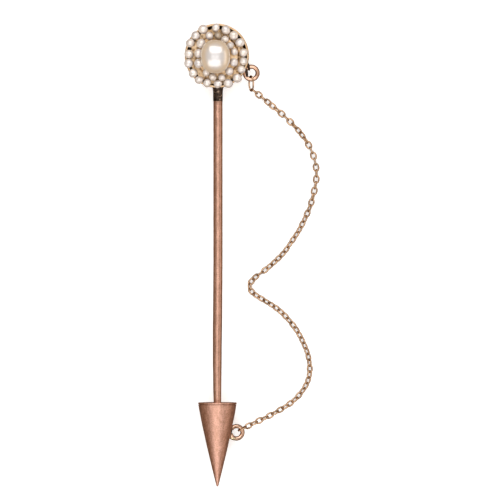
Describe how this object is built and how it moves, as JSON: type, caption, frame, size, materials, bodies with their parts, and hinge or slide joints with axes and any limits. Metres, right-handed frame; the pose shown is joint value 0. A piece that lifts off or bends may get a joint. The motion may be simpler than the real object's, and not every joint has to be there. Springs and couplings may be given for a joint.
{
  "type": "jabot pin",
  "caption": "Jewelled stick pin with a round pearl cluster head, a straight stem, a pull-off conical cap over its point and a fine safety chain from head to cap.",
  "frame": {"origin": "centre of the back plate's flat outer face, on the surface that the pin lies on", "axes": "+Z out of the surface, towards the pearls; +Y along the stem towards the head, so the cap's tip points to -Y; +X towards the chain"},
  "size_m": [0.021, 0.0721, 0.0077],
  "materials": {
    "yellow_gold": "polished yellow rose gold with darker hollows",
    "rose_gold": "matt bloomed rose gold",
    "chain_gold": "worn polished rose gold wire",
    "spring_gold": "hard drawn gold alloy wire",
    "solder": "oxidised solder",
    "pearl": "opaque white seed pearl with a soft lustre",
    "dull_pearl": "opaque worn seed pearl, grey brown",
    "button_pearl": "opaque cream button pearl with a satin lustre"
  },
  "bodies": {
    "pin": {"back_plate": "yellow_gold", "gallery_rim": "yellow_gold", "setting_plate": "yellow_gold", "large_pearl_cup": "yellow_gold", "pearl_peg": "yellow_gold", "large_pearl": "button_pearl", "outer_pearl_01": "pearl", "outer_pearl_02": "pearl", "outer_pearl_03": "pearl", "outer_pearl_04": "pearl", "outer_pearl_05": "pearl", "outer_pearl_06": "pearl", "outer_pearl_07": "pearl", "outer_pearl_08": "pearl", "outer_pearl_09": "pearl", "outer_pearl_10": "pearl", "outer_pearl_11": "pearl", "outer_pearl_12": "pearl", "outer_pearl_13": "pearl", "outer_pearl_14": "pearl", "outer_pearl_15": "pearl", "outer_pearl_16": "pearl", "outer_pearl_17": "pearl", "outer_pearl_18": "pearl", "inner_pearl_01": "pearl", "inner_pearl_02": "pearl", "inner_pearl_03": "pearl", "inner_pearl_04": "pearl", "inner_pearl_05": "pearl", "inner_pearl_06": "pearl", "inner_pearl_07": "pearl", "inner_pearl_08": "pearl", "inner_pearl_09": "pearl", "inner_pearl_10": "pearl", "inner_pearl_11": "pearl", "inner_pearl_12": "pearl", "inner_pearl_13": "dull_pearl", "head_ring": "yellow_gold", "stem": "rose_gold", "stem_collar": "solder"},
    "cap": {"cap_shell": "rose_gold", "cap_lid": "rose_gold", "cap_guide_tube": "yellow_gold", "cap_catch_spring": "spring_gold", "cap_ring": "rose_gold"},
    "chain_upper_top": {"upper_end_link": "chain_gold", "chain_01": "chain_gold", "chain_02": "chain_gold"},
    "chain_upper_middle": {"chain_03": "chain_gold", "chain_04": "chain_gold"},
    "chain_upper_bottom": {"chain_05": "chain_gold", "chain_06": "chain_gold"},
    "chain_lower_bottom": {"lower_end_link": "chain_gold", "chain_12": "chain_gold", "chain_11": "chain_gold"},
    "chain_lower_middle": {"chain_10": "chain_gold", "chain_09": "chain_gold"},
    "chain_lower_top": {"chain_08": "chain_gold", "chain_07": "chain_gold"}
  },
  "joints": [
    {"name": "cap_slide", "type": "slide", "parent": "pin", "child": "cap", "axis": [0, -1, 0], "range_m": [0, 0.0076]},
    {"name": "chain_upper_top_hinge", "type": "hinge", "parent": "pin", "child": "chain_upper_top", "pos_m": [0.00526, -0.0035, 0.0022], "axis": [0, 0, 1], "range_deg": [-17.5, 0]},
    {"name": "chain_upper_middle_hinge", "type": "hinge", "parent": "chain_upper_top", "child": "chain_upper_middle", "pos_m": [0.01399, -0.01335, 0.00056], "axis": [0, 0, 1], "range_deg": [0, 18]},
    {"name": "chain_upper_bottom_hinge", "type": "hinge", "parent": "chain_upper_middle", "child": "chain_upper_bottom", "pos_m": [0.01418, -0.02403, 0.00056], "axis": [0, 0, 1], "range_deg": [0, 14]},
    {"name": "chain_lower_bottom_hinge", "type": "hinge", "parent": "cap", "child": "chain_lower_bottom", "pos_m": [0.00375, -0.05798, 0.00203], "axis": [0, 0, 1], "range_deg": [0, 22.5]},
    {"name": "chain_lower_middle_hinge", "type": "hinge", "parent": "chain_lower_bottom", "child": "chain_lower_middle", "pos_m": [0.01353, -0.0517, 0.00059], "axis": [0, 0, 1], "range_deg": [-27, 0]},
    {"name": "chain_lower_top_hinge", "type": "hinge", "parent": "chain_lower_middle", "child": "chain_lower_top", "pos_m": [0.01088, -0.04076, 0.00056], "axis": [0, 0, 1], "range_deg": [-6.5, 0]}
  ],
  "couplings": [
    {"joint": "chain_upper_top_hinge", "follows": "cap_slide", "rad_per_m": -39.6},
    {"joint": "chain_upper_middle_hinge", "follows": "cap_slide", "rad_per_m": 40.2},
    {"joint": "chain_upper_bottom_hinge", "follows": "cap_slide", "rad_per_m": 31.3},
    {"joint": "chain_lower_bottom_hinge", "follows": "cap_slide", "rad_per_m": 50.3},
    {"joint": "chain_lower_middle_hinge", "follows": "cap_slide", "rad_per_m": -60.7},
    {"joint": "chain_lower_top_hinge", "follows": "cap_slide", "rad_per_m": -14}
  ]
}
